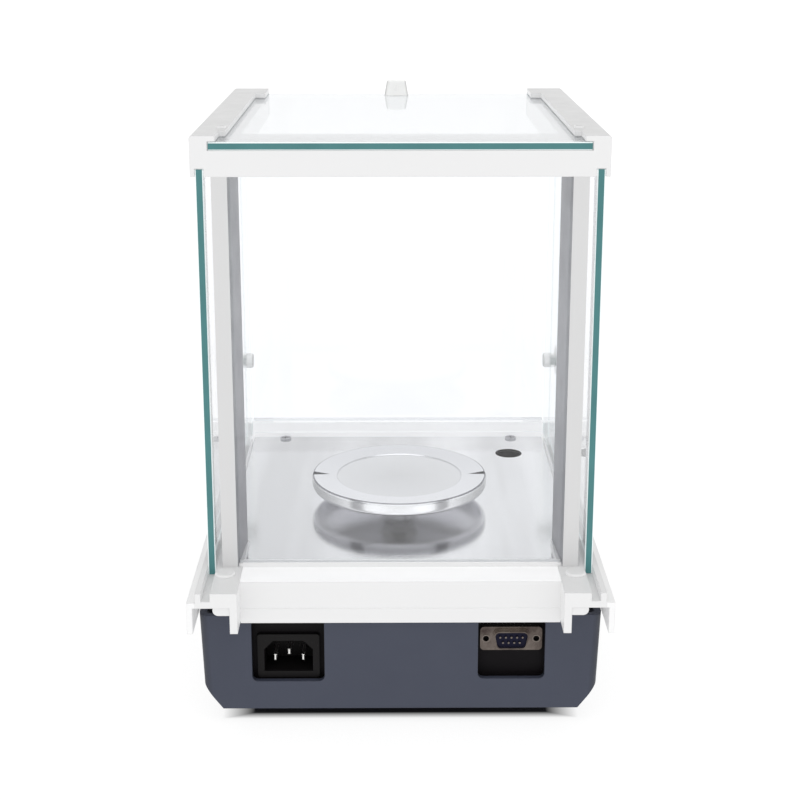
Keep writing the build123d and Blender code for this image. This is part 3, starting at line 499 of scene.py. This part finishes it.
# ---------------------------------------------------------------------------
# A look for each material slot, and for the few nodes that need their own
# ---------------------------------------------------------------------------
looks = {
    "housing_plastic": housing_moulding("slate housing", (0.048, 0.055, 0.082)),
    # the cover's top faces out past the blocks take the painted shade of the ledges
    "white_plastic": white_moulding("white moulding", block_inner_x, 0.58),
    "grey_plastic": post_plastic("post plastic"),
    "black_plastic": plastic("black moulding", (0.0055, 0.0045, 0.0055), 0.5, 1500, 0.00003, 0.1,
                             specular=0.1),
    "inlet_plastic": plastic("inlet moulding", (0.006, 0.0052, 0.0055), 0.4, 1800, 0.00002, 0.1,
                             specular=0.16),
    "stainless_plate": stainless_sheet("brushed stainless"),
    "pan_steel": turned_steel("turned pan steel"),
    "steel_screw": metal("zinc plated steel", (0.50, 0.50, 0.52), 0.28),
    "nickel": metal("dull nickel", (0.17, 0.145, 0.13), 0.25, mottle=0.3),
    "clear_plastic": milky("milky moulding", (0.72, 0.725, 0.715)),
    "level_liquid": plastic("level vial", (0.018, 0.022, 0.012), 0.15, 400, 0.00001, 0.1, coat=0.3),
    "machined_aluminium": metal("machined aluminium", (0.75, 0.75, 0.76), 0.3, (1, 0.05, 1)),
    "cast_aluminium": metal("cast aluminium", (0.60, 0.60, 0.62), 0.42, depth=0.00003),
    "magnet_steel": laminated("laminated steel"),
    "circuit_board": circuit_board("circuit board"),
    "brass_fitting": metal("turned brass", (0.72, 0.52, 0.24), 0.28, (1, 1, 8)),
    "copper_winding": winding("copper winding"),
    "insert_plastic": plastic("blue insert", (0.008, 0.008, 0.024), 0.45, 1500, 0.00002, 0.08,
                              specular=0.1),
    "overlay_film": printed_film("printed film", (0.045, 0.052, 0.076)),
    "display_lens": smoked_lens("smoked lens"),
    "key_plastic": plastic("key cap", (0.60, 0.61, 0.64), 0.42, 2500, 0.00002, 0.02),
    "foot_rubber": plastic("foot rubber", (0.018, 0.018, 0.018), 0.75, 900, 0.00008, 0.15),
    "wheel_plastic": plastic("foot wheel", (0.03, 0.03, 0.032), 0.5, 1200, 0.00004, 0.1),
}
own_looks = {
    # the frame's top faces all take the painted shade of the ledges
    "top_frame": white_moulding("frame moulding", 0.0, 0.49),
    "serial_shell": drawn_nickel("drawn nickel"),
    "inlet_pins": metal("bright blades", (0.85, 0.84, 0.82), 0.3),
}
for node_name, across, exposed, bends in (
    ("left_door_glass", 0, True, False),
    ("right_door_glass", 0, True, False),
    ("top_door_glass", 2, True, True),
    ("front_glass", 1, False, False),
    ("rear_glass", 1, False, False),
):
    own_looks[node_name] = pane("glass " + node_name, across, exposed, bends)
for row in frame["record"]["subparts"]:
    materials = nodes[row["node"]].data.materials
    materials.clear()
    materials.append(own_looks.get(row["node"]) or looks[row["material_slot"]])


# ---------------------------------------------------------------------------
# Floor, light and camera
# ---------------------------------------------------------------------------
def studio_floor():
    """Plain pale floor with a painted contact shadow under the base."""
    mesh = bpy.data.meshes.new("floor")
    reach = 30.0
    corners = [(-reach, -reach, 0), (reach, -reach, 0), (reach, reach, 0), (-reach, reach, 0)]
    mesh.from_pydata(corners, [], [(0, 1, 2, 3)])
    floor = bpy.data.objects.new("floor", mesh)
    bpy.context.scene.collection.objects.link(floor)
    look = Look("pale floor")
    x, y, _ = look.split(look.place)
    # painted contact shadow: a dark, unlit patch under the base, fading out past its sides, rear and nose
    beside = look.span(look.size(x), *base_side_x, 0.0, 1.0)
    behind = look.span(y, *base_rear_y, 0.0, 1.0)
    ahead = look.span(y, *base_front_y, 1.0, 0.0)
    clear = look.math("MAXIMUM", look.math("MAXIMUM", beside, behind), ahead)
    pale = look.mix(look.noise(3, detail=4), (0.18, 0.18, 0.18, 1), (0.20, 0.20, 0.20, 1))
    shader = look.add("ShaderNodeBsdfPrincipled", {
        "Base Color": look.mix(clear, (0.05, 0.05, 0.056, 1), pale),
        "Roughness": 0.6, "Specular IOR Level": 0.1,
        "Normal": look.bump(look.noise(400), 0.0001),
        "Emission Color": (1, 1, 1, 1), "Emission Strength": look.math("MULTIPLY", clear, 0.85),
    })
    mesh.materials.append(look.finish(shader.outputs[0]))


def soft_sun(strength, angle, elevation, azimuth):
    """Soft light from a compass direction: azimuth 0 is +Y, 90 is +X. Angles in degrees."""
    lamp = bpy.data.lights.new("key", "SUN")
    lamp.energy = strength
    lamp.angle = math.radians(angle)
    item = bpy.data.objects.new("key", lamp)
    bpy.context.scene.collection.objects.link(item)
    up, turn = math.radians(elevation), math.radians(azimuth)
    source = Vector((math.sin(turn) * math.cos(up), math.cos(turn) * math.cos(up), math.sin(up)))
    item.rotation_euler = source.to_track_quat("Z", "Y").to_euler()


def studio_world():
    """White room, a little dimmer overhead than at the horizon."""
    world = bpy.data.worlds.new("studio")
    world.use_nodes = True
    tree = world.node_tree
    background = tree.nodes["Background"]
    height = tree.nodes.new("ShaderNodeSeparateXYZ")
    tree.links.new(tree.nodes.new("ShaderNodeTexCoord").outputs["Generated"], height.inputs[0])
    level = tree.nodes.new("ShaderNodeMapRange")
    for socket, value in ((1, 0.25), (2, 0.6), (3, 1.0), (4, 0.86)):
        level.inputs[socket].default_value = value
    tree.links.new(height.outputs[2], level.inputs[0])
    background.inputs[0].default_value = (1.0, 1.0, 1.0, 1)
    tree.links.new(level.outputs[0], background.inputs[1])
    return world


def rear_camera():
    """Camera behind the balance and a little above it, looking down at the rear."""
    data = bpy.data.cameras.new("camera")
    data.lens = 68.9
    data.sensor_width = 36.0
    data.shift_y = -0.0875
    data.clip_start = 0.01
    camera = bpy.data.objects.new("camera", data)
    bpy.context.scene.collection.objects.link(camera)
    pitch, yaw = math.radians(14.71), math.radians(0.38)
    view = Vector((-math.sin(yaw) * math.cos(pitch), -math.cos(yaw) * math.cos(pitch), -math.sin(pitch)))
    camera.location = (0.0049, 0.8374, 0.386)
    camera.rotation_euler = view.to_track_quat("-Z", "Y").to_euler()
    return camera


studio_floor()
soft_sun(strength=0.7, angle=60, elevation=78, azimuth=4)
scene = bpy.context.scene
scene.world = studio_world()
scene.view_settings.view_transform = "Standard"
scene.render.film_transparent = False
scene.camera = rear_camera()
